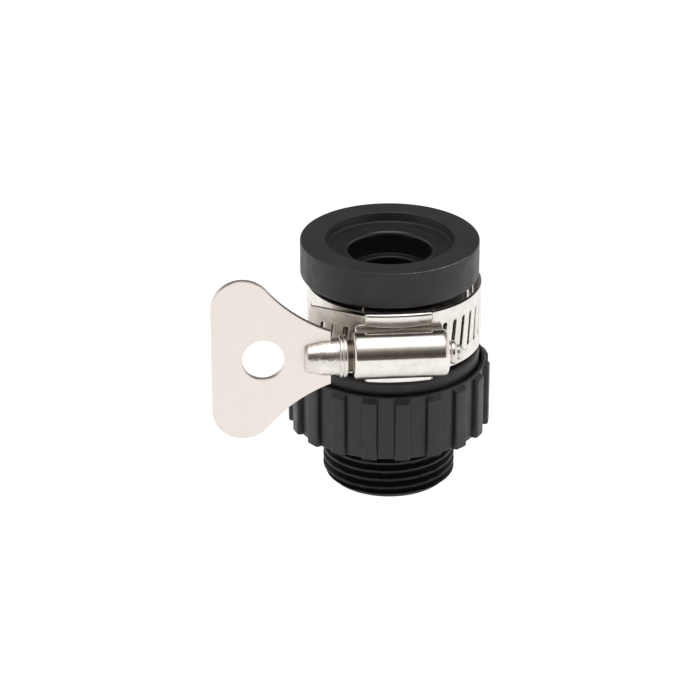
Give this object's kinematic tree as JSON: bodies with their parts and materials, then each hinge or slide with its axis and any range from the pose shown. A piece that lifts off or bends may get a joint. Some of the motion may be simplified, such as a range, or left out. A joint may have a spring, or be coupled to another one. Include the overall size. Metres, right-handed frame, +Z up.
{
  "type": "tap hose adapter",
  "caption": "Adapter that clamps a rubber sleeve on a plain tap spout and ends in a male hose thread, with a ribbed union nut and a worm-drive band clamp turned by a thumb key.",
  "frame": {"origin": "centre of the hose thread's end face, on the fitting's axis", "axes": "+Z up along the fitting's axis towards the tap, -Y towards the clamp housing, -X towards the thumb key"},
  "size_m": [0.0545, 0.0466, 0.0527],
  "materials": {
    "tail_plastic": "moulded, slightly glossy",
    "nut_plastic": "moulded satin",
    "sleeve_rubber": "matte rubber",
    "band_steel": "plated strip",
    "saddle_steel": "plated sheet",
    "housing_steel": "plated sheet",
    "screw_steel": "plated turned steel",
    "key_steel": "plated satin sheet"
  },
  "bodies": {
    "tail": {"threaded_tail": "tail_plastic"},
    "sleeve": {"tap_sleeve": "sleeve_rubber"},
    "nut": {"union_nut": "nut_plastic"},
    "clamp": {"clamp_band": "band_steel", "clamp_saddle": "saddle_steel", "clamp_housing": "housing_steel"},
    "screw": {"worm_screw": "screw_steel", "thumb_key": "key_steel"}
  },
  "joints": [
    {"name": "sleeve_lift", "type": "slide", "parent": "tail", "child": "sleeve", "axis": [0, 0, 1], "range_m": [0, 0.00577]},
    {"name": "nut_turn", "type": "hinge", "parent": "sleeve", "child": "nut", "pos_m": [0, 0, 0.0185], "axis": [0, 0, 1], "range_deg": [0, 900]},
    {"name": "clamp_turn", "type": "hinge", "parent": "sleeve", "child": "clamp", "pos_m": [0, 0, 0.03615], "axis": [0, 0, 1], "continuous": true},
    {"name": "key_turn", "type": "hinge", "parent": "clamp", "child": "screw", "pos_m": [0.00185, -0.02112, 0.03615], "axis": [-0.9962, -0.0872, 0], "continuous": true}
  ],
  "couplings": [
    {"joint": "nut_turn", "follows": "sleeve_lift", "rad_per_m": 2721.2}
  ]
}
